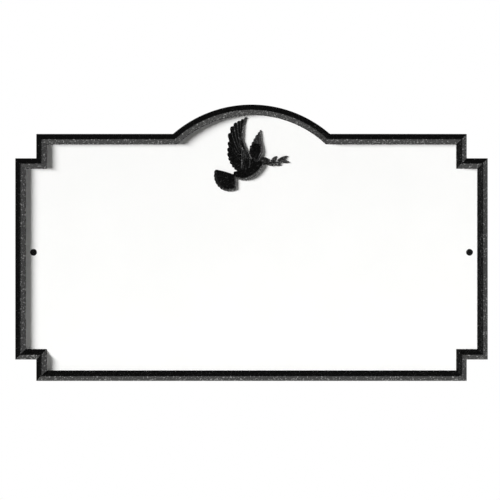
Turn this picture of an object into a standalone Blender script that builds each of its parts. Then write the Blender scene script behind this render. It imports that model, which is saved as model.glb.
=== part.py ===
"""Lawn memorial plaque: a cast plate with a raised border and a dove in relief, held by two flush screws.

The plaque stands upright and its front looks towards -Y. The origin is on the flat back, midway between
the two screws. Lengths are in metres.
"""

import math

import bmesh
import bpy
from mathutils import Vector

MM = 0.001

# The plate's outline
PLATE_WIDTH = 400 * MM
SHOULDER_HEIGHT = 209.1 * MM  # from the bottom edge to the straight top edge
SCREW_LINE_HEIGHT = 108.9 * MM  # from the bottom edge to the line through the screws
CORNER_WIDTH = 17.8 * MM
TOP_CORNER_HEIGHT = 20.6 * MM
BOTTOM_CORNER_HEIGHT = 18.1 * MM
ARCH_SPAN = 133.0 * MM
ARCH_RISE = 24.9 * MM
ARCH_SEGMENTS = 36
PLATE_THICKNESS = 4.8 * MM

# The border, a ridge with a crest along its middle
BORDER_WIDTH = 8.6 * MM
BORDER_HEIGHT = 3.4 * MM  # the crest above the field
BORDER_EDGE_HEIGHT = 0.7 * MM  # the outer edge above the field
BORDER_CREST_WIDTH = 0.7 * MM

# The countersunk screws and their holes
SCREW_HEAD_DIAMETER = 5.2 * MM
SCREW_HEAD_RIM = 0.3 * MM
SCREW_SHANK_DIAMETER = 2.6 * MM
SCREW_CLEARANCE = 0.3 * MM
SCREW_BORDER_GAP = 3.9 * MM  # plain field between the border and the hole
SCREW_END_GAP = 0.3 * MM  # the shank ends this far inside the back face
SCREW_SLOT_WIDTH = 0.7 * MM
SCREW_SLOT_LENGTH = 3.0 * MM
SCREW_SLOT_DEPTH = 0.8 * MM
COUNTERSINK_ANGLE = math.radians(82)
SCREW_SEGMENTS = 32

# The dove's size, its place under the arch, and how high its parts stand above the field
DOVE_WIDTH = 64.2 * MM
DOVE_TOP_GAP = 1.9 * MM  # plain field between the wing tip's level and the border at the crown
BODY_HEIGHT = 1.8 * MM
NEAR_WING_HEIGHT = 1.2 * MM
FAR_WING_HEIGHT = 1.3 * MM
TAIL_HEIGHT = 1.3 * MM
BRANCH_HEIGHT = 1.45 * MM
RELIEF_ROOT = 0.5 * MM  # how deep the relief reaches into the plate
TIP_SHARE = 0.15  # a feather's very tip, as a share of its width

SHOULDER_Z = SHOULDER_HEIGHT - SCREW_LINE_HEIGHT
BOTTOM_Z = -SCREW_LINE_HEIGHT
ARCH_RADIUS = ((ARCH_SPAN / 2) ** 2 + ARCH_RISE**2) / (2 * ARCH_RISE)
ARCH_CENTRE_Z = SHOULDER_Z + ARCH_RISE - ARCH_RADIUS
FIELD_Y = -PLATE_THICKNESS
HOLE_RADIUS = SCREW_HEAD_DIAMETER / 2 + SCREW_CLEARANCE
SCREW_X = PLATE_WIDTH / 2 - BORDER_WIDTH - SCREW_BORDER_GAP - HOLE_RADIUS
DOVE_TOP_Z = SHOULDER_Z + ARCH_RISE - BORDER_WIDTH - DOVE_TOP_GAP
DOVE_UNIT = DOVE_WIDTH / 100

# Cross-sections, as places across the half width and shares of the height
VANE_SECTION = ((-1, 0.35), (0.45, 1), (1, 0.3))  # climbs from under its neighbour, then steps down
SLANT_SECTION = ((-1, 0.5), (-0.8, 1), (1, 0.1))  # lies over to its right
BROAD_SECTION = ((-1, 0.2), (-0.6, 0.9), (0.6, 0.9), (1, 0.2))
SLAB_SECTION = ((-1, 0.22), (-0.74, 1), (0.74, 1), (1, 0.22))
BREAST_SECTION = ((-1, 0.2), (-0.55, 0.97), (0.55, 0.97), (1, 0.18))
DOME_SECTION = tuple((-math.cos(math.pi * i / 6), 0.15 + 0.85 * math.sin(math.pi * i / 6)) for i in range(7))
RIDGE_SECTION = ((-1, 0.4), (0, 1), (1, 0.4))


def clear_scene():
    for thing in list(bpy.data.objects):
        bpy.data.objects.remove(thing, do_unlink=True)


def material(name, colour, roughness, metallic):
    new = bpy.data.materials.new(name)
    new.use_nodes = True
    new.diffuse_color = (*colour, 1)
    shader = new.node_tree.nodes["Principled BSDF"]
    shader.inputs["Base Color"].default_value = (*colour, 1)
    shader.inputs["Roughness"].default_value = roughness
    shader.inputs["Metallic"].default_value = metallic
    return new


def skin(name, rings, in_triangles=False):
    """A closed solid through rings of matching points, with a flat cap on each end.

    in_triangles splits its sides, which keeps every face flat where the rings turn.
    """
    shape = bmesh.new()
    loops = [[shape.verts.new(point) for point in ring] for ring in rings]
    for first, second in zip(loops, loops[1:]):
        for i in range(len(first)):
            shape.faces.new((first[i - 1], first[i], second[i], second[i - 1]))
    shape.faces.new(loops[0])
    shape.faces.new(loops[-1])
    bmesh.ops.recalc_face_normals(shape, faces=shape.faces[:])
    if in_triangles:
        bmesh.ops.triangulate(shape, faces=shape.faces[:])
    mesh = bpy.data.meshes.new(name)
    shape.to_mesh(mesh)
    shape.free()
    return bpy.data.objects.new(name, mesh)


def show(thing, *materials):
    for each in materials:
        thing.data.materials.append(each)
    bpy.context.scene.collection.objects.link(thing)
    return thing


def boolean(thing, name, operation, others):
    """A Boolean modifier with one other object, or with all the objects of a collection."""
    modifier = thing.modifiers.new(name, "BOOLEAN")
    modifier.operation = operation
    modifier.solver = "EXACT"
    if isinstance(others, bpy.types.Collection):
        modifier.operand_type = "COLLECTION"
        modifier.collection = others
    else:
        modifier.object = others


def hidden(thing, collection):
    """Keeps a cutter or a piece of relief as a wire guide in its collection."""
    thing.hide_render = True
    thing.display_type = "WIRE"
    collection.objects.link(thing)
    return thing


def guide_collection(name):
    collection = bpy.data.collections.new(name)
    bpy.context.scene.collection.children.link(collection)
    return collection


def plate_outline(inset):
    """The outline as points in X and Z, moved inwards by inset, clockwise from the arch's left foot."""
    side = PLATE_WIDTH / 2 - inset
    corner = PLATE_WIDTH / 2 - CORNER_WIDTH - inset
    top = SHOULDER_Z - inset
    bottom = BOTTOM_Z + inset
    top_ledge = SHOULDER_Z - TOP_CORNER_HEIGHT - inset
    bottom_ledge = BOTTOM_Z + BOTTOM_CORNER_HEIGHT + inset
    radius = ARCH_RADIUS - inset
    reach = math.acos((top - ARCH_CENTRE_Z) / radius)
    arch = []
    for i in range(ARCH_SEGMENTS + 1):
        angle = reach * (2 * i / ARCH_SEGMENTS - 1)
        arch.append((radius * math.sin(angle), ARCH_CENTRE_Z + radius * math.cos(angle)))
    right = [(corner, top), (corner, top_ledge), (side, top_ledge)]
    right += [(side, bottom_ledge), (corner, bottom_ledge), (corner, bottom)]
    left = [(-x, z) for x, z in reversed(right)]
    return arch + right + left


def make_plate():
    """The plate with its border: the outline at each step of the border's profile, from back to field."""
    crest_y = FIELD_Y - BORDER_HEIGHT
    profile = [
        (0, 0),
        (0, FIELD_Y - BORDER_EDGE_HEIGHT),
        ((BORDER_WIDTH - BORDER_CREST_WIDTH) / 2, crest_y),
        ((BORDER_WIDTH + BORDER_CREST_WIDTH) / 2, crest_y),
        (BORDER_WIDTH, FIELD_Y),
    ]
    rings = [[(x, y, z) for x, z in plate_outline(inset)] for inset, y in profile]
    return skin("plaque", rings)


def turned(name, centre_x, profile):
    """A round solid about a line along Y through centre_x, from radii and places along Y."""
    rings = []
    for radius, y in profile:
        ring = []
        for i in range(SCREW_SEGMENTS):
            angle = 2 * math.pi * i / SCREW_SEGMENTS
            ring.append((centre_x + radius * math.cos(angle), y, radius * math.sin(angle)))
        rings.append(ring)
    return skin(name, rings)


def screw_profile(gap, start_y, end_y):
    """The screw's radii along Y, widened by gap for its hole."""
    head = SCREW_HEAD_DIAMETER / 2 + gap
    shank = SCREW_SHANK_DIAMETER / 2 + gap
    cone_start = FIELD_Y + SCREW_HEAD_RIM
    cone_end = cone_start + (head - shank) / math.tan(COUNTERSINK_ANGLE / 2)
    return [(head, start_y), (head, cone_start), (shank, cone_end), (shank, end_y)]


def slot_cross(name, centre_x):
    """The cutter for the cross slots in a screw's head."""
    wide = SCREW_SLOT_LENGTH / 2
    slim = SCREW_SLOT_WIDTH / 2
    quarter = [(wide, slim), (slim, slim), (slim, wide)]
    outline = []
    for turn in range(4):
        for x, z in quarter:
            for _ in range(turn):
                x, z = -z, x
            outline.append((x, z))
    ends = (FIELD_Y - SCREW_SLOT_DEPTH, FIELD_Y + SCREW_SLOT_DEPTH)
    return skin(name, [[(centre_x + x, y, z) for x, z in outline] for y in ends])


def make_screw(side, centre_x, plate, guides, black):
    screw = turned("screw_" + side, centre_x, screw_profile(0, FIELD_Y, -SCREW_END_GAP))
    slots = hidden(slot_cross("slots_" + side, centre_x), guides)
    boolean(screw, "slots", "DIFFERENCE", slots)
    show(screw, black)
    past = BORDER_HEIGHT
    hole = turned("hole_" + side, centre_x, screw_profile(SCREW_CLEARANCE, FIELD_Y - past, past))
    boolean(plate, "hole " + side, "DIFFERENCE", hidden(hole, guides))


def dove_point(across, down):
    """A place on the dove's grid: hundredths of its width, from its left edge and down from its top."""
    return Vector(((across - 50) * DOVE_UNIT, 0, DOVE_TOP_Z - down * DOVE_UNIT))


def loft(name, stations, section, relief):
    """One raised piece: its section at each station (place, half width, height), rooted in the plate.

    Each piece's root ends at its own depth, so that no two of them lie in one plane.
    """
    root_y = FIELD_Y + RELIEF_ROOT * (1 + len(relief.objects) / 100)
    rings = []
    for i, (place, half_width, height) in enumerate(stations):
        before = stations[max(i - 1, 0)][0]
        after = stations[min(i + 1, len(stations) - 1)][0]
        along = (after - before).normalized()
        across = Vector((along.z, 0, -along.x))
        ring = []
        for side, share in section:
            point = place + across * half_width * side
            ring.append((point.x, FIELD_Y - height * share, point.z))
        for side in (1, -1):
            point = place + across * half_width * side
            ring.append((point.x, root_y, point.z))
        rings.append(ring)
    hidden(skin(name, rings, in_triangles=True), relief)


def feather(name, root, tip, width, height, relief, bow=0, root_share=0.6, widest=0.86,
            tip_round=0.36, fall=0.3, fall_from=0.4, section=VANE_SECTION):
    """A blade from root to tip, bowed to its right, widest at a share of its length.

    tip_round is 0.36 for a blunt tip and 1 for a pointed one. fall is the share of its height that it
    loses between fall_from, a share of its length, and its tip.
    """
    along = tip - root
    aside = Vector((along.z, 0, -along.x)).normalized() * bow * DOVE_UNIT
    stations = []
    for t in (0, widest / 3, widest * 2 / 3, widest, (1 + widest) / 2, 0.25 * widest + 0.75, 1):
        widening = root_share + (1 - root_share) * math.sin(math.pi / 2 * min(t / widest, 1))
        past_widest = max((t - widest) / (1 - widest), 0)
        narrowing = max((1 - past_widest**2) ** tip_round, TIP_SHARE)
        place = root + along * t + aside * math.sin(math.pi * t)
        half_width = width * DOVE_UNIT / 2 * widening * narrowing
        fallen = max((t - fall_from) / (1 - fall_from), 0)
        stations.append((place, half_width, height * (1 - fall * fallen)))
    loft(name, stations, section, relief)


def limb(name, places, height, section, relief):
    """A form through places on the dove's grid, each with its half width and its share of the height."""
    stations = []
    for across, down, half, share in places:
        stations.append((dove_point(across, down), half * DOVE_UNIT, share * height))
    loft(name, stations, section, relief)


def near_wing(relief):
    """The wing nearer the viewer: long flight feathers, short hind feathers, the arm and its coverts."""
    flight = [
        ((36.6, 38.3), (43.2, 0.0), 4.6, -2.2),
        ((35.6, 38.3), (38.8, 2.6), 5.8, -1.2),
        ((35.0, 39.9), (33.8, 4.8), 6.2, -0.3),
        ((34.2, 42.3), (29.2, 7.2), 6.6, -0.7),
        ((34.0, 45.2), (24.6, 12.0), 7.2, -1.3),
        ((34.2, 49.5), (21.8, 20.8), 7.8, -2.0),
        ((34.8, 53.8), (21.6, 31.8), 8.2, -2.2),
        ((35.4, 57.5), (20.4, 39.8), 8.0, -2.0),
        ((36.2, 61.0), (20.0, 46.2), 8.0, -1.8),
    ]
    for i, (root, tip, width, bow) in enumerate(flight):
        section = SLANT_SECTION if i == 0 else VANE_SECTION
        height = NEAR_WING_HEIGHT * (1 - 0.02 * i)
        feather(f"flight_{i}", dove_point(*root), dove_point(*tip), width, height, relief, bow,
                section=section)
    hind_count = 6
    for i in range(hind_count):
        t = i / (hind_count - 1)
        tip = dove_point(20.2 + 12.6 * t**1.3, 52.4 + 16.6 * math.sin(t * math.pi / 2))
        root = dove_point(37.5 + 4.5 * t, 62 + 4 * t)
        height = NEAR_WING_HEIGHT * (0.86 - 0.03 * i)
        feather(f"hind_{i}", root, tip, 8.4, height, relief, root_share=0.8)
    arm = [
        (36.6, 30.0, 1.6, 0.75),
        (37.6, 38.3, 3.2, 0.95),
        (39.6, 46.2, 4.6, 1.05),
        (42.0, 54.1, 5.8, 1.1),
        (43.0, 62.0, 5.9, 1.12),
        (41.8, 69.3, 4.4, 1.05),
    ]
    limb("arm", arm, NEAR_WING_HEIGHT, SLAB_SECTION, relief)
    feather("wrist", dove_point(38.2, 46.0), dove_point(36.2, 26.0), 6.0, NEAR_WING_HEIGHT * 1.15, relief,
            bow=-0.6, root_share=0.7, fall=0.15, section=SLANT_SECTION)
    covert_count = 4
    for i in range(covert_count):
        root = dove_point(35.8 + 1.9 * i, 37 + 2.6 * i)
        tip = dove_point(36.6 + 3.2 * i, 68.0 + 0.6 * i)
        height = NEAR_WING_HEIGHT * (1.42 - 0.05 * i)
        feather(f"covert_{i}", root, tip, 4.2, height, relief, bow=-1.4, fall=0.1)


def far_wing(relief):
    """The wing behind: flight feathers fanned from a smooth pad, and the arm along its leading edge."""
    feather_count = 5
    for i in range(feather_count):
        t = i / (feather_count - 1)
        tip = dove_point(60.8 - 10.2 * t**0.85, 19.6 + 17.8 * t**1.1)
        root = dove_point(59.2 - 8.0 * t, 44 + 6 * t)
        height = FAR_WING_HEIGHT * (0.8 + 0.05 * i)
        feather(f"far_flight_{i}", root, tip, 4.6 + 0.8 * t, height, relief, bow=-0.6, root_share=0.9,
                tip_round=0.5, fall=0.1, section=SLANT_SECTION)
    pad = [
        (57.2, 35.5, 6.4, 0.95),
        (56.9, 40.3, 7.6, 1.05),
        (55.7, 46.0, 8.7, 1.1),
        (55.5, 50.5, 6.9, 1.08),
        (55.8, 54.8, 4.4, 1.0),
        (56.2, 58.5, 2.2, 0.6),
    ]
    limb("far_pad", pad, FAR_WING_HEIGHT, SLAB_SECTION, relief)
    shoulder = [(46.0, 62.0, 4.0, 1), (52.0, 60.0, 5.0, 1), (59.0, 60.0, 3.0, 1)]
    limb("shoulder", shoulder, BRANCH_HEIGHT / 2, DOME_SECTION, relief)
    arm = [
        (61.0, 46.0, 1.4, 0.8),
        (62.0, 40.3, 1.6, 1.0),
        (61.5, 34.0, 1.6, 1.15),
        (60.9, 27.5, 1.4, 1.05),
        (61.9, 17.2, 0.8, 0.6),
    ]
    limb("far_arm", arm, FAR_WING_HEIGHT, SLANT_SECTION, relief)


def tail(relief):
    """A broad fan of feathers, from the one that points back to the one that points down."""
    count = 10
    hub = dove_point(27.0, 77.5)
    lap = 2.0 * DOVE_UNIT  # each feather starts this far inside the body
    for i in range(count):
        t = i / (count - 1)
        angle = math.radians(169 + 97.5 * t)
        heading = Vector((math.cos(angle), 0, math.sin(angle)))
        root = hub - heading * lap
        tip = hub + heading * (26.8 - 7.2 * t**2.2) * DOVE_UNIT
        height = TAIL_HEIGHT * (1 - 0.01 * i)
        feather(f"tail_{i}", root, tip, 7.2, height, relief, root_share=0.4, fall=0.85, fall_from=0.86,
                section=BROAD_SECTION)


def body(relief):
    """The body from the rump to the breast, with the head and the beak."""
    trunk = [
        (26.2, 76.1, 4.0, 0.6),
        (32.3, 76.6, 5.6, 0.75),
        (38.9, 76.8, 7.0, 0.9),
        (45.5, 74.5, 7.9, 1.0),
        (51.5, 70.8, 7.7, 1.0),
        (56.8, 66.4, 6.8, 0.95),
        (61.2, 62.4, 5.0, 0.9),
        (64.0, 59.9, 3.6, 0.8),
    ]
    limb("trunk", trunk, BODY_HEIGHT, BREAST_SECTION, relief)
    head = [
        (60.7, 58.9, 1.0, 0.6),
        (62.4, 58.6, 4.0, 0.8),
        (65.6, 58.2, 5.2, 0.9),
        (68.8, 58.1, 4.9, 0.75),
        (71.4, 58.4, 3.3, 0.5),
        (72.8, 58.7, 0.9, 0.2),
    ]
    limb("head", head, BODY_HEIGHT, SLANT_SECTION, relief)
    feather("beak", dove_point(70.0, 58.6), dove_point(75.0, 60.4), 2.6, BODY_HEIGHT * 0.6, relief,
            root_share=1.0, widest=0.5, tip_round=0.8, section=RIDGE_SECTION)


def branch(relief):
    """The olive branch in the beak: a bowed stem with leaves along it."""
    feather("stem", dove_point(72.5, 61.0), dove_point(89.0, 57.4), 2.0, BRANCH_HEIGHT, relief, bow=1.6,
            root_share=1.0, section=RIDGE_SECTION)
    leaves = [
        ((75.4, 61.2), (83.4, 51.6), 5.6),
        ((76.8, 60.8), (89.2, 64.0), 4.6),
        ((84.2, 57.2), (98.0, 51.5), 4.2),
        ((86.4, 56.8), (100.0, 60.3), 4.8),
        ((69.5, 62.1), (79.0, 63.8), 3.2),
    ]
    for i, (root, tip, width) in enumerate(leaves):
        height = BRANCH_HEIGHT * (1 + 0.06 * i)
        feather(f"leaf_{i}", dove_point(*root), dove_point(*tip), width, height, relief, root_share=0.3,
                widest=0.5, tip_round=0.8, fall=0.7, section=SLANT_SECTION)


def build():
    clear_scene()
    black = material("black powder coat on cast aluminium", (0.012, 0.012, 0.013), 0.35, 0.0)
    white = material("white enamel on the field", (0.9, 0.9, 0.9), 0.45, 0.0)
    screw_black = material("black oxide steel", (0.01, 0.01, 0.01), 0.4, 0.3)
    guides = guide_collection("cutters")
    relief = guide_collection("relief")

    plate = show(make_plate(), black, white)
    plate.data.polygons[-1].material_index = 1
    near_wing(relief)
    far_wing(relief)
    tail(relief)
    body(relief)
    branch(relief)
    boolean(plate, "relief", "UNION", relief)
    for side, centre_x in (("left", -SCREW_X), ("right", SCREW_X)):
        make_screw(side, centre_x, plate, guides, screw_black)


build()
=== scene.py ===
import math

import bmesh
import bpy
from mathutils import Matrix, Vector


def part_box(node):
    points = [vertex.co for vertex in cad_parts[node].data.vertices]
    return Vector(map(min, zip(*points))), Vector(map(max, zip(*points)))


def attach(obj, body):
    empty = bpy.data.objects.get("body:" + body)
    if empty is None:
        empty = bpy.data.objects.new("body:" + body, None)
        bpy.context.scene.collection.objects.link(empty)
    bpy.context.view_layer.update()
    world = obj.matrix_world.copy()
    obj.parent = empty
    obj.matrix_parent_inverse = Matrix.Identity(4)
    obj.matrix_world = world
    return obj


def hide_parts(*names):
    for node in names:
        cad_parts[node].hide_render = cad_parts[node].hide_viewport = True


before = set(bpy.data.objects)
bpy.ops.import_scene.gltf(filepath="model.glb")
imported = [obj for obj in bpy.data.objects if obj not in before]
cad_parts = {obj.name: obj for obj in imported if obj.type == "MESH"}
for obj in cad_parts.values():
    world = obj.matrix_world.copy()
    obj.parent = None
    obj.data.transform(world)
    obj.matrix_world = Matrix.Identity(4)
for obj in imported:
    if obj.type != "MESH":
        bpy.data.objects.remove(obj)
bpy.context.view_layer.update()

# The plate: the flat body of one aluminium sand casting, with stepped corners and an arch in its top edge.
# Its outline is the pattern board's, straight sides and one arc, left square where it meets the wall.
MM = 0.001
CORNER_WIDTH = 17.8 * MM
TOP_CORNER_HEIGHT = 20.6 * MM
BOTTOM_CORNER_HEIGHT = 18.1 * MM
ARCH_SPAN = 133.0 * MM
ARCH_RISE = 24.9 * MM
ARCH_SIDES = 360  # round the whole circle, so an arch side is 1.8 mm
BORDER_WIDTH = 8.6 * MM
BORDER_HEIGHT = 3.4 * MM
BORDER_EDGE_HEIGHT = 0.7 * MM
CREST_WIDTH = 0.7 * MM
WELD = 0.2 * MM  # points nearer than this are one
plate_low, plate_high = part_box("plaque")
side_x = plate_high.x
bottom_z = plate_low.z
shoulder_z = plate_high.z - ARCH_RISE
field_y = plate_low.y + BORDER_HEIGHT
edge_y = field_y - BORDER_EDGE_HEIGHT
arch_radius = ((ARCH_SPAN / 2) ** 2 + ARCH_RISE**2) / (2 * ARCH_RISE)


def start_piece(name):
    """Names the primitive just added and keeps its place, turn and size in its mesh."""
    bpy.ops.object.transform_apply(location=True, rotation=True, scale=True)
    bpy.context.object.name = name
    return bpy.context.object


def block(name, corner, opposite):
    """A cube primitive that fills the space between two corners."""
    corner, opposite = Vector(corner), Vector(opposite)
    bpy.ops.object.select_all(action="DESELECT")
    bpy.ops.mesh.primitive_cube_add(size=1, location=(corner + opposite) / 2)
    bpy.context.object.dimensions = [abs(span) for span in opposite - corner]
    return start_piece(name)


def carve(thing, operation, tool, solver="EXACT"):
    """Casts the tool's shape onto the thing or cuts it out, and clears the tool away."""
    change = thing.modifiers.new(operation, "BOOLEAN")
    change.operation = operation
    change.solver = solver
    change.object = tool
    bpy.context.view_layer.objects.active = thing
    bpy.ops.object.modifier_apply(modifier=change.name)
    bpy.data.objects.remove(tool, do_unlink=True)


def edit(thing, kind, test):
    """Opens the thing in edit mode with only those of its faces or edges selected that pass the test."""
    bpy.ops.object.select_all(action="DESELECT")
    thing.select_set(True)
    bpy.context.view_layer.objects.active = thing
    bpy.ops.object.mode_set(mode="EDIT")
    bpy.ops.mesh.select_mode(type=kind)
    bpy.ops.mesh.select_all(action="DESELECT")
    shape = bmesh.from_edit_mesh(thing.data)
    for each in shape.faces if kind == "FACE" else shape.edges:
        each.select_set(test(each))
    shape.select_flush_mode()
    bmesh.update_edit_mesh(thing.data)


plaque = block("plaque_casting", (-side_x, edge_y, bottom_z), (side_x, 0, plate_high.z + BORDER_WIDTH))
for side in (-1, 1):
    for outer_z, height in ((shoulder_z, -TOP_CORNER_HEIGHT), (bottom_z, BOTTOM_CORNER_HEIGHT)):
        step = (side * (side_x - CORNER_WIDTH), 2 * edge_y, outer_z + height)
        past = (side * (side_x + CORNER_WIDTH), -edge_y, outer_z - 2 * height)
        carve(plaque, "DIFFERENCE", block("corner_step", step, past))
waste_low = (-2 * side_x, 2 * edge_y, shoulder_z)
waste_high = (2 * side_x, -edge_y, 2 * shoulder_z)
waste = block("waste_over_the_arch", waste_low, waste_high)
bpy.ops.object.select_all(action="DESELECT")
bpy.ops.mesh.primitive_cylinder_add(
    vertices=ARCH_SIDES, radius=arch_radius, depth=side_x,
    location=(0, 0, plate_high.z - arch_radius), rotation=(math.pi / 2, 0, 0),
)
carve(waste, "DIFFERENCE", start_piece("arch"))
carve(plaque, "DIFFERENCE", waste)
edit(plaque, "FACE", lambda face: True)
bpy.ops.mesh.remove_doubles(threshold=WELD)
bpy.ops.object.mode_set(mode="OBJECT")

# The border: a ridge with a narrow crest that runs round the plate, cast with it to frame the field.
# The front face is inset three times: up the outer slope, across the crest and down the inner slope.
slope_width = (BORDER_WIDTH - CREST_WIDTH) / 2
SHARP_ANGLE = math.radians(14)
EDGE_ROUNDING = 0.3 * MM
edit(plaque, "FACE", lambda face: face.normal.y < -0.99)
bpy.ops.mesh.inset(thickness=slope_width, depth=BORDER_HEIGHT - BORDER_EDGE_HEIGHT)
bpy.ops.mesh.inset(thickness=CREST_WIDTH, depth=0)
bpy.ops.mesh.inset(thickness=slope_width, depth=-BORDER_HEIGHT)
bpy.ops.object.mode_set(mode="OBJECT")
edit(plaque, "EDGE", lambda edge: edge.calc_face_angle(0) > SHARP_ANGLE)
bpy.ops.mesh.bevel(offset=EDGE_ROUNDING, segments=3, affect="EDGES", clamp_overlap=True)
bpy.ops.object.mode_set(mode="OBJECT")

# The dove: a bird in flight with an olive branch, carved in the pattern and cast in one with the plate.
# Every form is a copy of one blank, laid from its root to its tip, and the mould's sand rounds them together.
DOVE_WIDTH = 64.2 * MM
DOVE_TOP_GAP = 1.9 * MM
BODY_HEIGHT = 1.8 * MM
NEAR_WING_HEIGHT = 1.2 * MM
FAR_WING_HEIGHT = 1.3 * MM
TAIL_HEIGHT = 1.3 * MM
BRANCH_HEIGHT = 1.45 * MM
RELIEF_ROOT = 0.9 * MM
SAND_GRAIN = 0.2 * MM  # the finest form that the mould holds
BLANK_ROWS = 44
BLANK_COLUMNS = 16
unit = DOVE_WIDTH / 100
dove_top_z = plate_high.z - BORDER_WIDTH - DOVE_TOP_GAP

bpy.ops.object.select_all(action="DESELECT")
bpy.ops.mesh.primitive_grid_add(
    x_subdivisions=BLANK_ROWS, y_subdivisions=BLANK_COLUMNS, size=2, location=(1, 0, 0)
)
blank = start_piece("blank")
edit(blank, "FACE", lambda face: True)
bpy.ops.mesh.extrude_region_move(TRANSFORM_OT_translate={"value": (0, 0, 1)})
bpy.ops.mesh.select_all(action="SELECT")
bpy.ops.mesh.normals_make_consistent(inside=False)
bpy.ops.transform.resize(value=(0.5, 1, 1), center_override=(0, 0, 0))
bpy.ops.object.mode_set(mode="OBJECT")
forms = []


def dove_point(across, down):
    """A place on the dove's grid, in hundredths of its width.

    across counts from the dove's left edge, and down from its highest tip.
    """
    return Vector(((across - 50) * unit, field_y, dove_top_z - down * unit))


def lay(name, path, half_width, crest, section):
    """Lays a copy of the blank along path, which gives a place for each share of the way from root to tip."""
    form = blank.copy()
    form.data = blank.data.copy()
    form.name = name
    bpy.context.collection.objects.link(form)
    for vertex in form.data.vertices:
        t, side, top = vertex.co
        ahead = (path(t + 0.01) - path(t - 0.01)).normalized()
        across = Vector((ahead.z, 0, -ahead.x))
        vertex.co = path(t) + across * half_width(t) * side
        vertex.co.y += -crest(t) * section(side) if top > 0.5 else RELIEF_ROOT
    forms.append(form)


def vane(side):
    """A flight feather: it climbs from under its neighbour to a crest, then steps down at its right."""
    climb = 0.35 + 0.65 * (side + 1) / 1.45
    step = 1 - 0.7 * (side - 0.45) / 0.55
    return min(climb, step)


def slant(side):
    """A feather that lies over to its right: high near its left edge, thin at its right one."""
    return min(1 - 0.5 * (side + 0.8), 1 - 2.5 * (-0.8 - side))


def broad(side):
    """A broad tail feather, nearly flat, with a quill and softened edges."""
    return 1 - 0.8 * abs(side) ** 4 + 0.07 * math.exp(-((side / 0.12) ** 2))


def dome(side):
    """Half round, on a low side wall."""
    return 0.15 + 0.85 * math.sqrt(max(1 - side**2, 0))


def breast(side):
    """The body: its back nearly level, its belly one broad slope."""
    return min(1 - 0.1 * side**2, 1 - 0.82 * (side - 0.55) / 0.45, 1 - 0.8 * (-side - 0.55) / 0.45)


def slab(side):
    """A smooth pad: level across, then chamfered down to each side."""
    return min(1, 1 - (abs(side) - 0.74) * 3)


def ridge(side):
    """High along its middle line, falling away to each side."""
    return 1 - 0.6 * abs(side) ** 1.3


def cupped(side):
    """A leaf that lies over to its right, with a groove for its midrib."""
    return slant(side) - 0.12 * math.exp(-((side / 0.14) ** 2))


def feather(name, root, tip, width, height, bow=0, root_share=0.6, widest=0.86, tip_round=0.36, fall=0.3,
            fall_from=0.4, section=vane):
    """A blade bowed to its right, widest at a share of its length.

    tip_round is 0.36 for a blunt tip and 1 for a point. fall is the share of its height that it loses
    between fall_from, a share of its length, and its tip.
    """
    along = tip - root
    aside = Vector((along.z, 0, -along.x)).normalized() * bow * unit

    def half_width(t):
        t = min(max(t, 0), 1)
        widening = root_share + (1 - root_share) * math.sin(math.pi / 2 * min(t / widest, 1))
        past = max((t - widest) / (1 - widest), 0)
        return max(width * unit / 2 * widening * (1 - past**2) ** tip_round, 0.05 * MM)

    lay(
        name,
        lambda t: root + along * t + aside * math.sin(math.pi * t),
        half_width,
        lambda t: height * (1 - fall * max((t - fall_from) / (1 - fall_from), 0)),
        section,
    )


def limb(name, stations, height, section=dome):
    """A rounded form through stations: across, down, half width and share of the height."""

    def at(t):
        place = min(max(t, -0.02), 1.02) * (len(stations) - 1)
        i = min(max(int(place), 0), len(stations) - 2)
        u = place - i
        before = stations[max(i - 1, 0)]
        start, end = stations[i], stations[i + 1]
        after = stations[min(i + 2, len(stations) - 1)]
        return [
            b + 0.5 * u * (c - a + u * (2 * a - 5 * b + 4 * c - d + u * (3 * (b - c) + d - a)))
            for a, b, c, d in zip(before, start, end, after)
        ]

    lay(
        name,
        lambda t: dove_point(*at(t)[:2]),
        lambda t: max(at(t)[2], 0.2) * unit,
        lambda t: at(t)[3] * height,
        section,
    )


# The wing nearer the viewer, in the same relief: nine flight feathers, then hind feathers that fan to the
# rump, and over their roots the arm and its coverts.
FLIGHT_FEATHERS = (  # each one's root, tip, width and bow, on the dove's grid
    ((36.6, 38.3), (43.2, 0.0), 4.6, -2.2),
    ((35.6, 38.3), (38.8, 2.6), 5.8, -1.2),
    ((35.0, 39.9), (33.8, 4.8), 6.2, -0.3),
    ((34.2, 42.3), (29.2, 7.2), 6.6, -0.7),
    ((34.0, 45.2), (24.6, 12.0), 7.2, -1.3),
    ((34.2, 49.5), (21.8, 20.8), 7.8, -2.0),
    ((34.8, 53.8), (21.6, 31.8), 8.2, -2.2),
    ((35.4, 57.5), (20.4, 39.8), 8.0, -2.0),
    ((36.2, 61.0), (20.0, 46.2), 8.0, -1.8),
)
HIND_FEATHERS = 6
COVERTS = 4
for i, (root, tip, width, bow) in enumerate(FLIGHT_FEATHERS):
    section = slant if i == 0 else vane
    height = NEAR_WING_HEIGHT * (1 - 0.02 * i)
    feather("flight_feather", dove_point(*root), dove_point(*tip), width, height, bow, section=section)
for i in range(HIND_FEATHERS):
    t = i / (HIND_FEATHERS - 1)
    tip = dove_point(20.2 + 12.6 * t**1.3, 52.4 + 16.6 * math.sin(t * math.pi / 2))
    root = dove_point(37.5 + 4.5 * t, 62 + 4 * t)
    feather("hind_feather", root, tip, 8.4, NEAR_WING_HEIGHT * (0.86 - 0.03 * i), root_share=0.8)
limb(
    "near_arm",
    (
        (36.6, 30.0, 1.6, 0.75),
        (37.6, 38.3, 3.2, 0.95),
        (39.6, 46.2, 4.6, 1.05),
        (42.0, 54.1, 5.8, 1.1),
        (43.0, 62.0, 5.9, 1.12),
        (41.8, 69.3, 4.4, 1.05),
    ),
    NEAR_WING_HEIGHT,
    slab,
)
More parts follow.
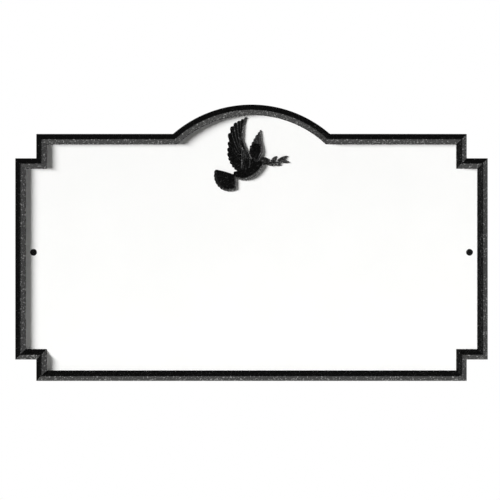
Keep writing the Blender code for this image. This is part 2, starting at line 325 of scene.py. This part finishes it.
feather("wrist", dove_point(38.2, 46.0), dove_point(36.2, 26.0), 6.0, NEAR_WING_HEIGHT * 1.15, bow=-0.6,
        root_share=0.7, fall=0.15, section=slant)
for i in range(COVERTS):
    root = dove_point(35.8 + 1.9 * i, 37 + 2.6 * i)
    tip = dove_point(36.6 + 3.2 * i, 68.0 + 0.6 * i)
    feather("covert", root, tip, 4.2, NEAR_WING_HEIGHT * (1.42 - 0.05 * i), bow=-1.4, fall=0.1)

# The wing behind, in the same relief: five flight feathers that fan from a smooth pad, the shoulder that
# joins it to the body, and the arm along its leading edge.
FAR_FEATHERS = 5
for i in range(FAR_FEATHERS):
    t = i / (FAR_FEATHERS - 1)
    tip = dove_point(60.8 - 10.2 * t**0.85, 19.6 + 17.8 * t**1.1)
    root = dove_point(59.2 - 8.0 * t, 44 + 6 * t)
    height = FAR_WING_HEIGHT * (0.8 + 0.05 * i)
    feather("far_feather", root, tip, 4.6 + 0.8 * t, height, bow=-0.6, root_share=0.9, tip_round=0.5,
            fall=0.1, section=slant)
limb(
    "far_pad",
    ((57.2, 35.5, 6.4, 0.95), (56.9, 40.3, 7.6, 1.05), (55.7, 46.0, 8.7, 1.1), (55.5, 50.5, 6.9, 1.08),
     (55.8, 54.8, 4.4, 1.0), (56.2, 58.5, 2.2, 0.6)),
    FAR_WING_HEIGHT,
    slab,
)
limb("shoulder", ((46.0, 62.0, 4.0, 1), (52.0, 60.0, 5.0, 1), (59.0, 60.0, 3.0, 1)), BRANCH_HEIGHT * 0.5)
limb(
    "far_arm",
    ((61.0, 46.0, 1.4, 0.8), (62.0, 40.3, 1.6, 1.0), (61.5, 34.0, 1.6, 1.15), (60.9, 27.5, 1.4, 1.05),
     (61.9, 17.2, 0.8, 0.6)),
    FAR_WING_HEIGHT,
    slant,
)

# The tail: ten broad feathers from one root in the body, opened like a fan from straight back to straight
# down. Each falls off at its tip, so the tail's rim catches the light.
TAIL_FEATHERS = 10
TAIL_BACK = 169  # degrees, the first feather's heading
TAIL_OPENING = 97.5  # degrees, from the first to the last
TAIL_LENGTH = 26.8  # the first feather, on the dove's grid
TAIL_SHORTENING = 7.2  # how much shorter the last one is
TAIL_LAP = 2.0 * unit  # each feather starts this far inside the body
tail_hub = dove_point(27.0, 77.5)
for i in range(TAIL_FEATHERS):
    t = i / (TAIL_FEATHERS - 1)
    angle = math.radians(TAIL_BACK + TAIL_OPENING * t)
    heading = Vector((math.cos(angle), 0, math.sin(angle)))
    root = tail_hub - heading * TAIL_LAP
    tip = tail_hub + heading * (TAIL_LENGTH - TAIL_SHORTENING * t**2.2) * unit
    height = TAIL_HEIGHT * (1 - 0.01 * i)
    feather("tail_feather", root, tip, 7.2, height, root_share=0.4, fall=0.85, fall_from=0.86, section=broad)

# The body: one form from the rump to the breast, nearly level along the back, with a belly that slopes
# down to the field. The head and the beak are laid on its front end.
limb(
    "body",
    (
        (26.2, 76.1, 4.0, 0.6),
        (32.3, 76.6, 5.6, 0.75),
        (38.9, 76.8, 7.0, 0.9),
        (45.5, 74.5, 7.9, 1.0),
        (51.5, 70.8, 7.7, 1.0),
        (56.8, 66.4, 6.8, 0.95),
        (61.2, 62.4, 5.0, 0.9),
        (64.0, 59.9, 3.6, 0.8),
    ),
    BODY_HEIGHT,
    breast,
)
limb(
    "head",
    ((60.7, 58.9, 1.0, 0.6), (62.4, 58.6, 4.0, 0.8), (65.6, 58.2, 5.2, 0.9), (68.8, 58.1, 4.9, 0.75),
     (71.4, 58.4, 3.3, 0.5), (72.8, 58.7, 0.9, 0.2)),
    BODY_HEIGHT,
    slant,
)
feather("beak", dove_point(70.0, 58.6), dove_point(75.0, 60.4), 2.6, BODY_HEIGHT * 0.6, root_share=1.0,
        widest=0.5, tip_round=0.8, section=ridge)

# The olive branch: a bowed stem in the beak with five pointed leaves, each grooved for its midrib. It
# stands on the plate all along, so the pattern draws cleanly from the sand.
LEAVES = (  # each one's root, tip and width, on the dove's grid
    ((75.4, 61.2), (83.4, 51.6), 5.6),
    ((76.8, 60.8), (89.2, 64.0), 4.6),
    ((84.2, 57.2), (98.0, 51.5), 4.2),
    ((86.4, 56.8), (100.0, 60.3), 4.8),
    ((69.5, 62.1), (79.0, 63.8), 3.2),
)
feather("stem", dove_point(72.5, 61.0), dove_point(89.0, 57.4), 2.0, BRANCH_HEIGHT, 1.6, root_share=1.0,
        section=ridge)
for i, (root, tip, width) in enumerate(LEAVES):
    height = BRANCH_HEIGHT * (1 + 0.06 * i)
    feather("leaf", dove_point(*root), dove_point(*tip), width, height, root_share=0.3, widest=0.5,
            tip_round=0.8, fall=0.7, section=cupped)

# The casting's skin: the forms become one, as fine as the sand holds, and are rounded as a mould leaves
# them. They are one metal with the plate.
bpy.data.objects.remove(blank, do_unlink=True)
bpy.ops.object.select_all(action="DESELECT")
for form in forms:
    form.select_set(True)
bpy.context.view_layer.objects.active = dove = forms[0]
bpy.ops.object.join()
dove.data.remesh_voxel_size = SAND_GRAIN
bpy.ops.object.voxel_remesh()
rounding = dove.modifiers.new("rounding", "SMOOTH")
rounding.factor = 0.5
rounding.iterations = 3
bpy.ops.object.modifier_apply(modifier=rounding.name)
carve(plaque, "UNION", dove, "MANIFOLD")

# The fixing holes: one at each side, drilled through the casting and countersunk, so that the screws'
# heads lie flush with the field.
SCREW_HEAD_DIAMETER = 5.2 * MM
SCREW_HEAD_RIM = 0.3 * MM
SCREW_SHANK_DIAMETER = 2.6 * MM
SCREW_CLEARANCE = 0.3 * MM
COUNTERSINK_ANGLE = math.radians(82)
ROUND_SIDES = 64
cone_depth = (SCREW_HEAD_DIAMETER - SCREW_SHANK_DIAMETER) / 2 / math.tan(COUNTERSINK_ANGLE / 2)


def turned_shank(name, centre_x, gap, front_y, back_y):
    """A countersunk form about the screw's line: a disc for the rim, then a cone, then a shank."""
    head = SCREW_HEAD_DIAMETER / 2 + gap
    shank = SCREW_SHANK_DIAMETER / 2 + gap
    rim_y = field_y + SCREW_HEAD_RIM
    bpy.ops.object.select_all(action="DESELECT")
    bpy.ops.mesh.primitive_cylinder_add(
        vertices=ROUND_SIDES, radius=head, depth=rim_y - front_y,
        location=(centre_x, (rim_y + front_y) / 2, 0), rotation=(math.pi / 2, 0, 0),
    )
    turned = start_piece(name)
    edit(turned, "FACE", lambda face: face.normal.y > 0.99)
    bpy.ops.mesh.extrude_region_move(TRANSFORM_OT_translate={"value": (0, cone_depth, 0)})
    bpy.ops.transform.resize(value=(shank / head, 1, shank / head), center_override=(centre_x, 0, 0))
    bpy.ops.mesh.extrude_region_move(TRANSFORM_OT_translate={"value": (0, back_y - rim_y - cone_depth, 0)})
    bpy.ops.object.mode_set(mode="OBJECT")
    return turned


low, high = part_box("screw_right")
screw_x = (low.x + high.x) / 2
for centre_x in (-screw_x, screw_x):
    hole = turned_shank("hole", centre_x, SCREW_CLEARANCE, field_y - BORDER_HEIGHT, BORDER_HEIGHT)
    carve(plaque, "DIFFERENCE", hole, "MANIFOLD")


def srgb(code):
    """A colour as a screen shows it, in the linear light that a shader reads."""
    parts = [int(code[i : i + 2], 16) / 255 for i in (1, 3, 5)]
    return [part / 12.92 if part <= 0.04045 else ((part + 0.055) / 1.055) ** 2.4 for part in parts] + [1]


def node(tree, kind, inputs, **settings):
    """Adds a node with its settings. An input takes a value, or a link from another node's output."""
    made = tree.nodes.new("ShaderNode" + kind)
    for name, value in settings.items():
        setattr(made, name, value)
    for name, value in inputs.items():
        if isinstance(value, bpy.types.NodeSocket):
            tree.links.new(value, made.inputs[name])
        else:
            made.inputs[name].default_value = value
    return made


# Black powder coat with silver flake, baked over the cast skin: a deep black with fine bright specks, which
# gather where a slope catches the light. The sand's grain pebbles it. Both are drawn coarse enough to show.
BLACK = "#030303"
SILVER_FLAKE = "#767676"
FLAKE = 1.4 * MM
PEBBLE = 2.2 * MM
coat = bpy.data.materials.new("black powder coat on cast aluminium")
coat.use_nodes = True
tree = coat.node_tree
place = node(tree, "TexCoord", {}).outputs["Object"]
pebbles = node(tree, "TexNoise", {"Vector": place, "Scale": 1 / PEBBLE, "Detail": 1.0, "Roughness": 0.5})
flakes = node(tree, "TexNoise", {"Vector": place, "Scale": 1 / FLAKE, "Detail": 2.0, "Roughness": 0.6})
metal = node(tree, "MapRange", {"Value": flakes.outputs["Fac"], "From Min": 0.54, "From Max": 0.56})
flake = node(tree, "MapRange", {"Value": flakes.outputs["Fac"], "From Min": 0.56, "From Max": 0.64})
tone = node(tree, "ValToRGB", {"Fac": flake.outputs["Result"]})
tone.color_ramp.elements[0].color = srgb(BLACK)
tone.color_ramp.elements[1].color = srgb(SILVER_FLAKE)
gloss = node(tree, "MapRange", {"Value": pebbles.outputs["Fac"], "From Min": 0.35, "From Max": 0.65,
                                "To Min": 0.2, "To Max": 0.32})
grain = node(tree, "Bump", {"Height": pebbles.outputs["Fac"], "Strength": 1.0, "Distance": 0.2 * MM})
shader = tree.nodes["Principled BSDF"]
tree.links.new(tone.outputs["Color"], shader.inputs["Base Color"])
tree.links.new(metal.outputs["Result"], shader.inputs["Metallic"])
tree.links.new(gloss.outputs["Result"], shader.inputs["Roughness"])
tree.links.new(grain.outputs["Normal"], shader.inputs["Normal"])
plaque.data.materials.clear()
plaque.data.materials.append(coat)

# White enamel on aluminium, sprayed and stoved: a smooth satin white with faint orange peel. Only the
# field's flat face has it, clear of the border, the dove and the holes.
WHITE = "#F6F6F5"
WHITE_THIN = "#F2F2F1"
PEEL = 2.4 * MM
enamel = bpy.data.materials.new("white enamel on the field")
enamel.use_nodes = True
tree = enamel.node_tree
place = node(tree, "TexCoord", {}).outputs["Object"]
peel = node(tree, "TexNoise", {"Vector": place, "Scale": 1 / PEEL, "Detail": 1.5})
cloud = node(tree, "TexNoise", {"Vector": place, "Scale": 1 / (20 * PEEL), "Detail": 2.0})
tone = node(tree, "ValToRGB", {"Fac": cloud.outputs["Fac"]})
tone.color_ramp.elements[0].color = srgb(WHITE_THIN)
tone.color_ramp.elements[1].color = srgb(WHITE)
peel_bump = node(tree, "Bump", {"Height": peel.outputs["Fac"], "Strength": 0.35, "Distance": 0.04 * MM})
shader = tree.nodes["Principled BSDF"]
shader.inputs["Roughness"].default_value = 0.42
tree.links.new(tone.outputs["Color"], shader.inputs["Base Color"])
tree.links.new(peel_bump.outputs["Normal"], shader.inputs["Normal"])
plaque.data.materials.append(enamel)

FIELD_TOLERANCE = 0.01 * MM
SMOOTH_ANGLE = math.radians(35)
for face in plaque.data.polygons:
    on_field = face.normal.y < -0.9999 and abs(face.center.y - field_y) < FIELD_TOLERANCE
    face.material_index = 1 if on_field else 0
bpy.ops.object.select_all(action="DESELECT")
plaque.select_set(True)
bpy.context.view_layer.objects.active = plaque
bpy.ops.object.shade_smooth_by_angle(angle=SMOOTH_ANGLE)
for face in plaque.data.polygons:
    if face.material_index == 1:
        face.use_smooth = False
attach(plaque, "root")
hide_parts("plaque")

# The screws: countersunk steel wood screws with a cross recess, blackened in hot oxide and oiled.
# One in each hole, driven flush with the field, so they read as two dark dots on the white.
RECESS_LENGTH = 3.0 * MM
RECESS_WIDTH = 0.7 * MM
RECESS_DEPTH = 0.8 * MM
RECESS_DRAFT = 0.55
RIM_ROUNDING = 0.08 * MM
RIM_ANGLE = math.radians(30)
OXIDE_BLACK = "#1B1B1C"
GRIT = 0.25 * MM  # coarser than the oxide's own grain, so that it shows
oxide = bpy.data.materials.new("black oxide on steel")
oxide.use_nodes = True
tree = oxide.node_tree
place = node(tree, "TexCoord", {}).outputs["Object"]
grit = node(tree, "TexNoise", {"Vector": place, "Scale": 1 / GRIT, "Detail": 2.0})
gloss = node(tree, "MapRange", {"Value": grit.outputs["Fac"], "To Min": 0.34, "To Max": 0.55})
scuff = node(tree, "Bump", {"Height": grit.outputs["Fac"], "Strength": 0.4, "Distance": 0.02 * MM})
shader = tree.nodes["Principled BSDF"]
shader.inputs["Base Color"].default_value = srgb(OXIDE_BLACK)
shader.inputs["Metallic"].default_value = 0.6
tree.links.new(gloss.outputs["Result"], shader.inputs["Roughness"])
tree.links.new(scuff.outputs["Normal"], shader.inputs["Normal"])
for name, centre_x in (("screw_left", -screw_x), ("screw_right", screw_x)):
    screw_end_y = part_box(name)[1].y
    screw = turned_shank(name + "_turned", centre_x, 0, field_y, screw_end_y)
    edit(screw, "EDGE", lambda edge: edge.calc_face_angle(0) > RIM_ANGLE)
    bpy.ops.mesh.bevel(offset=RIM_ROUNDING, segments=2, affect="EDGES")
    bpy.ops.object.mode_set(mode="OBJECT")
    for along_x, along_z in ((RECESS_LENGTH, RECESS_WIDTH), (RECESS_WIDTH, RECESS_LENGTH)):
        corner = (centre_x - along_x / 2, field_y - RECESS_DEPTH, -along_z / 2)
        opposite = (centre_x + along_x / 2, field_y + RECESS_DEPTH, along_z / 2)
        bit = block("driver_bit", corner, opposite)
        edit(bit, "FACE", lambda face: face.normal.y > 0.99)
        bpy.ops.transform.resize(value=(RECESS_DRAFT, 1, RECESS_DRAFT), center_override=(centre_x, 0, 0))
        bpy.ops.object.mode_set(mode="OBJECT")
        carve(screw, "DIFFERENCE", bit)
    bpy.ops.object.select_all(action="DESELECT")
    screw.select_set(True)
    bpy.context.view_layer.objects.active = screw
    bpy.ops.object.shade_smooth_by_angle(angle=RIM_ANGLE)
    screw.data.materials.append(oxide)
    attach(screw, "root")
    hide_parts(name)

# The floor: a board painted pale and matt, level and well under the plaque. The photograph doesn't show
# it. It is there for the views from the sides and above.
FLOOR_Z = -0.45
FLOOR_SIZE = 1.3
FLOOR_BACK = 0.2
FLOOR_PAINT = "#C9C9C6"
bpy.ops.object.select_all(action="DESELECT")
bpy.ops.mesh.primitive_plane_add(size=FLOOR_SIZE, location=(0, FLOOR_BACK, FLOOR_Z))
floor = start_piece("floor")
board = bpy.data.materials.new("pale matt board")
board.use_nodes = True
board.node_tree.nodes["Principled BSDF"].inputs["Base Color"].default_value = srgb(FLOOR_PAINT)
board.node_tree.nodes["Principled BSDF"].inputs["Roughness"].default_value = 0.85
floor.data.materials.append(board)

# The studio: a soft key from the upper left, low enough for the border to shade the field, and softboxes
# at the right, below and at the left that only show as gloss on the black. The backdrop is white paper,
# lit by itself.
KEY_ELEVATION = math.radians(15.6)
KEY_TILT = math.radians(24)
KEY_STRENGTH = 11.3
KEY_SPREAD = math.radians(10.5)
key = bpy.data.lights.new("key", "SUN")
key.energy = KEY_STRENGTH
key.angle = KEY_SPREAD
key_lamp = bpy.data.objects.new("key", key)
toward_key = Vector(
    (-math.cos(KEY_ELEVATION) * math.cos(KEY_TILT), -math.sin(KEY_ELEVATION),
     math.cos(KEY_ELEVATION) * math.sin(KEY_TILT))
)
key_lamp.rotation_euler = toward_key.to_track_quat("Z", "Y").to_euler()
key_lamp.visible_glossy = False
bpy.context.collection.objects.link(key_lamp)


def softbox(name, centre, facing, size, radiance):
    """A soft panel that shows only in the gloss of what it faces. Its places and sizes are in metres."""
    panel = bpy.data.lights.new(name, "AREA")
    panel.shape = "RECTANGLE"
    panel.size, panel.size_y = size
    panel.energy = radiance * math.pi * size[0] * size[1]
    lamp = bpy.data.objects.new(name, panel)
    lamp.location = centre
    lamp.rotation_euler = Vector(facing).to_track_quat("-Z", "Y").to_euler()
    lamp.visible_diffuse = False
    lamp.visible_camera = False
    bpy.context.collection.objects.link(lamp)


softbox("softbox_right", (1.2, -1.15, 0.15), (-1, 0, 0), (2.4, 1.7), 1.15)
softbox("softbox_below", (0.45, -0.45, -0.4), (0, 0, 1), (1.5, 1.0), 0.85)
softbox("softbox_left", (-0.9, -0.85, 0), (1, 0, 0), (0.3, 0.7), 0.9)

backdrop = bpy.data.worlds.new("white paper backdrop")
backdrop.use_nodes = True
tree = backdrop.node_tree
FILL = 0.06
seen = node(tree, "LightPath", {}).outputs["Is Camera Ray"]
level = node(tree, "MapRange", {"Value": seen, "To Min": FILL, "To Max": 1.0})
paper = tree.nodes["Background"]
paper.inputs["Color"].default_value = (1, 1, 1, 1)
tree.links.new(level.outputs["Result"], paper.inputs["Strength"])
bpy.context.scene.world = backdrop
bpy.context.scene.view_settings.view_transform = "Standard"

# The camera: level and square to the field, three metres off, as for a catalogue. It aims at the place on
# the plaque where the photograph has its centre.
CAMERA_DISTANCE = 3.0
FRAME_WIDTH = 423.3 * MM  # what the photograph's width spans at the plaque
AIM_X = -1.27 * MM
AIM_Z = 1.95 * MM
lens_data = bpy.data.cameras.new("camera")
lens_data.lens = lens_data.sensor_width * CAMERA_DISTANCE / FRAME_WIDTH
camera = bpy.data.objects.new("camera", lens_data)
camera.location = (AIM_X, edge_y - CAMERA_DISTANCE, AIM_Z)
camera.rotation_euler = (math.pi / 2, 0, 0)
bpy.context.collection.objects.link(camera)
bpy.context.scene.camera = camera
